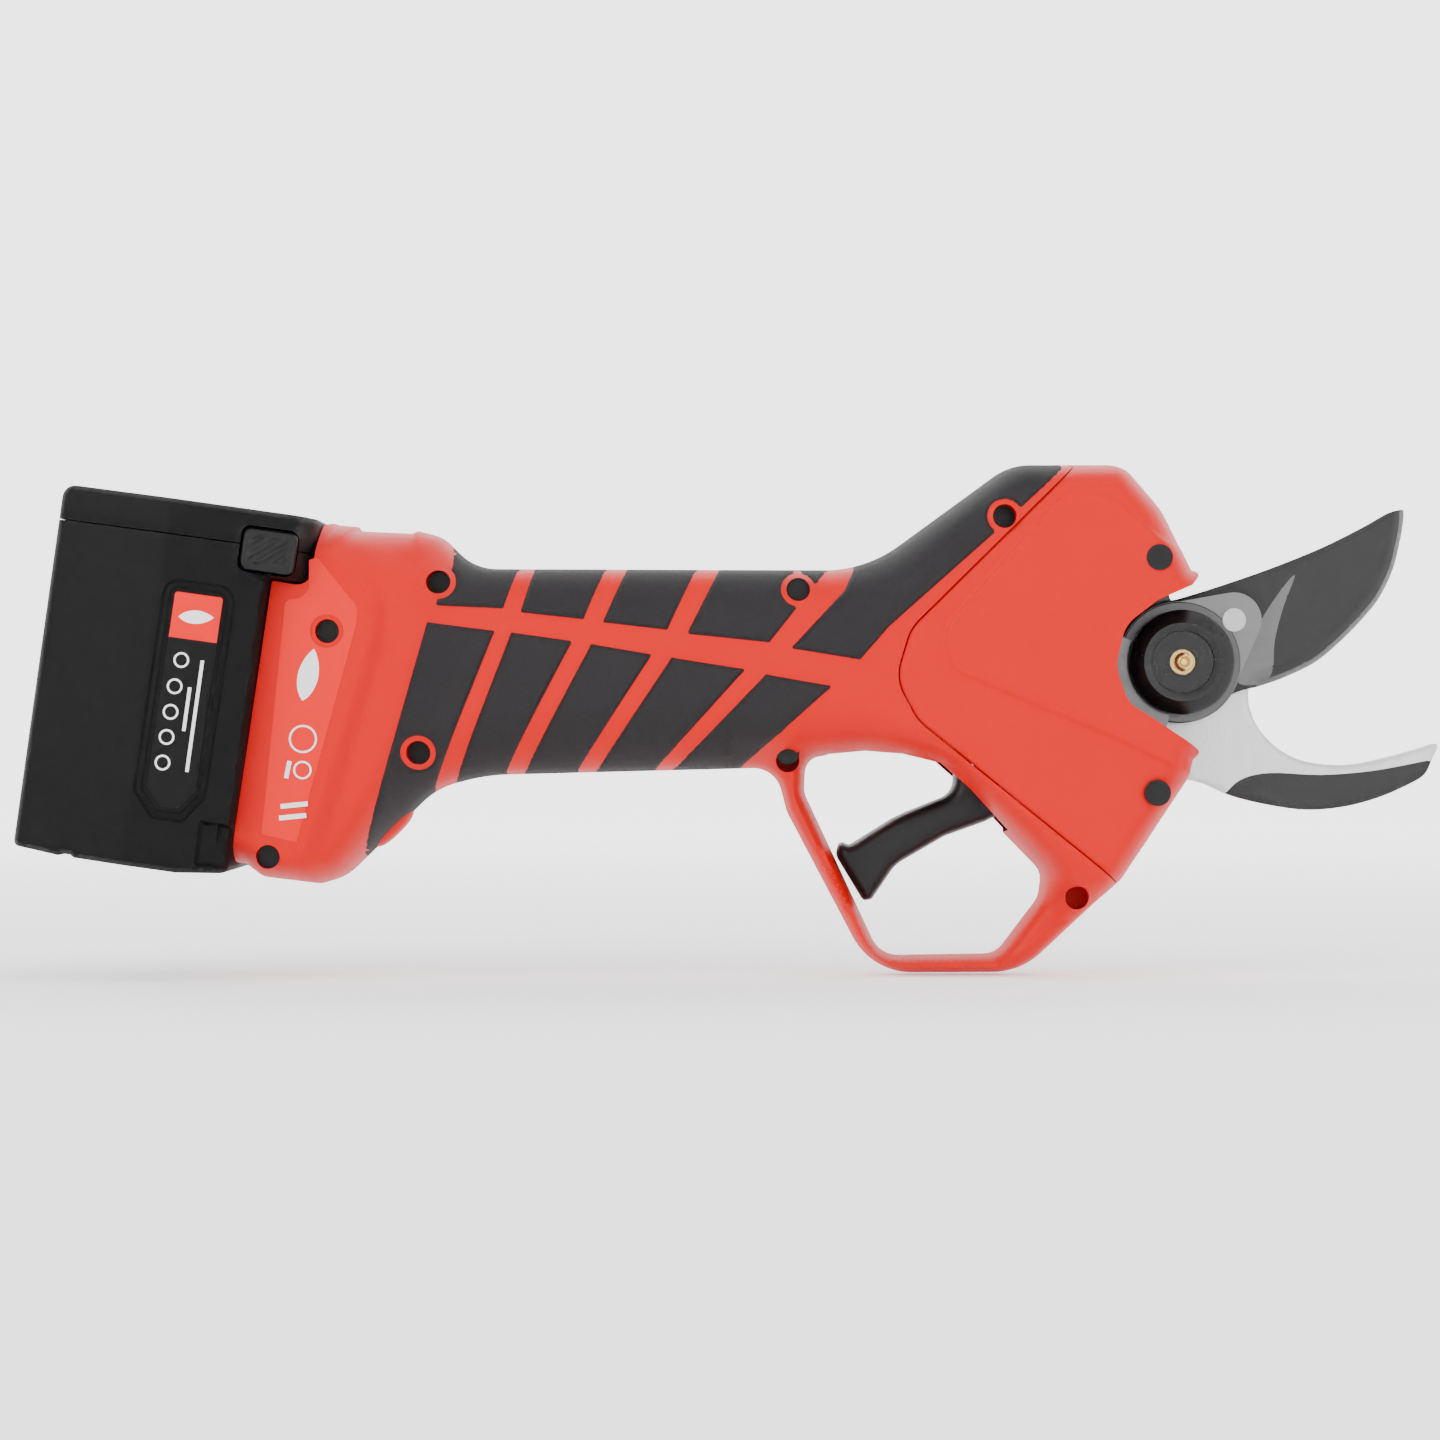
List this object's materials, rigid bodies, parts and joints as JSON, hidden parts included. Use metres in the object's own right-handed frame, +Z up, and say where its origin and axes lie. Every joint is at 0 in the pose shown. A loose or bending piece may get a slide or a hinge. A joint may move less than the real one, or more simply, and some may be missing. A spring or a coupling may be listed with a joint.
{
  "type": "battery electric pruner",
  "caption": "Cordless bypass pruner: motor in a padded handle, guarded trigger, coated blade over a steel hook, slide-off battery at the rear.",
  "frame": {"origin": "below the middle of the tool, on the level of the trigger guard's lowest edge", "axes": "+X along the tool towards the blades, +Z up with the trigger below the handle, -Y towards the tool's right-hand side (the side with the pivot nut)"},
  "size_m": [0.2978, 0.0658, 0.1079],
  "materials": {
    "red_housing": "fine-textured moulded plastic, satin",
    "grip_rubber": "soft matt overmoulding",
    "panel_red": "thin printed film, satin",
    "label_red": "printed film in two colours, satin",
    "black_plastic": "fine-textured moulded plastic",
    "trigger_plastic": "smooth moulded nylon",
    "black_nut": "black oxide, satin",
    "coated_steel": "dark low-friction coating, ground edge",
    "blade_steel": "ground and brushed",
    "gear_steel": "machined and ground",
    "screw_steel": "black zinc",
    "spring_steel": "drawn wire",
    "alloy": "machined, satin",
    "brass": "turned",
    "copper": "enamelled wire",
    "lead_red": "silicone lead",
    "circuit_board": "solder mask",
    "cell_wrap": "shrink wrap",
    "magnet": "nickel plated"
  },
  "bodies": {
    "housing": {"right_shell": "red_housing", "left_shell": "red_housing", "right_grip": "grip_rubber", "left_grip": "grip_rubber", "right_head_cover": "red_housing", "left_head_cover": "red_housing", "head_frame": "alloy", "hook_blade": "blade_steel", "hook_bolts": "screw_steel", "housing_screws": "screw_steel", "cover_screws": "screw_steel", "foot_panels": "panel_red", "gearbox_case": "alloy", "output_bearing": "gear_steel", "motor_case": "alloy", "motor_stator": "copper", "motor_end_cap": "trigger_plastic", "control_board": "circuit_board", "trigger_sensor": "circuit_board", "phase_leads": "copper", "battery_leads": "lead_red", "terminal_block": "trigger_plastic", "contact_blades": "brass", "button_spring": "spring_steel", "trigger_spring": "spring_steel", "trigger_pin": "gear_steel", "pivot_bolt": "gear_steel", "pivot_nut": "black_nut", "grease_nipple": "brass", "thrust_washer": "brass"},
    "blade": {"cutting_blade": "coated_steel", "drive_sector": "gear_steel", "drive_pin": "gear_steel", "pivot_bush": "brass"},
    "pinion": {"bevel_pinion": "gear_steel", "planet_carrier": "gear_steel"},
    "planet_1": {"planet_gear_1": "brass"},
    "planet_2": {"planet_gear_2": "brass"},
    "planet_3": {"planet_gear_3": "brass"},
    "rotor": {"sun_gear": "gear_steel", "motor_rotor": "gear_steel"},
    "trigger": {"trigger": "trigger_plastic", "trigger_magnet": "magnet"},
    "power_button": {"power_button": "red_housing"},
    "battery": {"battery_case": "black_plastic", "battery_lid": "black_plastic", "battery_cells": "cell_wrap", "cell_holders": "trigger_plastic", "cell_links": "copper", "battery_board": "circuit_board", "battery_terminals": "brass", "battery_screws": "screw_steel", "battery_labels": "label_red", "right_latch_spring": "spring_steel", "left_latch_spring": "spring_steel"},
    "right_latch": {"right_latch": "black_plastic"},
    "left_latch": {"left_latch": "black_plastic"}
  },
  "joints": [
    {"name": "blade_hinge", "type": "hinge", "parent": "housing", "child": "blade", "pos_m": [0.09347, 0, 0.0656], "axis": [0, 1, 0], "range_deg": [0, 56]},
    {"name": "pinion_spin", "type": "hinge", "parent": "housing", "child": "pinion", "pos_m": [0.03347, 0, 0.0656], "axis": [1, 0, 0], "range_deg": [-224, 0]},
    {"name": "planet_1_spin", "type": "hinge", "parent": "pinion", "child": "planet_1", "pos_m": [0.01347, -0.0072, 0.0656], "axis": [1, 0, 0], "range_deg": [0, 672]},
    {"name": "planet_2_spin", "type": "hinge", "parent": "pinion", "child": "planet_2", "pos_m": [0.01347, 0.0036, 0.05936], "axis": [1, 0, 0], "range_deg": [0, 672]},
    {"name": "planet_3_spin", "type": "hinge", "parent": "pinion", "child": "planet_3", "pos_m": [0.01347, 0.0036, 0.07184], "axis": [1, 0, 0], "range_deg": [0, 672]},
    {"name": "rotor_spin", "type": "hinge", "parent": "housing", "child": "rotor", "pos_m": [-0.02653, 0, 0.0656], "axis": [1, 0, 0], "range_deg": [-896, 0]},
    {"name": "trigger_pull", "type": "hinge", "parent": "housing", "child": "trigger", "pos_m": [0.05697, 0, 0.0396], "axis": [0, 1, 0], "range_deg": [0, 13], "stiffness_Nm_per_rad": 0.3, "springref_deg": -11.46, "deforming": ["trigger_spring"]},
    {"name": "power_button_press", "type": "slide", "parent": "housing", "child": "power_button", "axis": [-0.7071, 0, 0.7071], "range_m": [0, 0.0009], "stiffness_N_per_m": 1500, "springref_m": -0.0006, "deforming": ["button_spring"]},
    {"name": "battery_slide", "type": "slide", "parent": "housing", "child": "battery", "axis": [0.1392, 0, 0.9903], "range_m": [0, 0.08]},
    {"name": "right_latch_press", "type": "slide", "parent": "battery", "child": "right_latch", "axis": [0, 1, 0], "range_m": [0, 0.002], "stiffness_N_per_m": 1200, "springref_m": -0.0008, "deforming": ["right_latch_spring"]},
    {"name": "left_latch_press", "type": "slide", "parent": "battery", "child": "left_latch", "axis": [0, -1, 0], "range_m": [0, 0.002], "stiffness_N_per_m": 1200, "springref_m": -0.0008, "deforming": ["left_latch_spring"]}
  ],
  "couplings": [
    {"joint": "pinion_spin", "follows": "blade_hinge", "ratio": -4},
    {"joint": "planet_1_spin", "follows": "blade_hinge", "ratio": 12},
    {"joint": "planet_2_spin", "follows": "blade_hinge", "ratio": 12},
    {"joint": "planet_3_spin", "follows": "blade_hinge", "ratio": 12},
    {"joint": "rotor_spin", "follows": "blade_hinge", "ratio": -16}
  ]
}
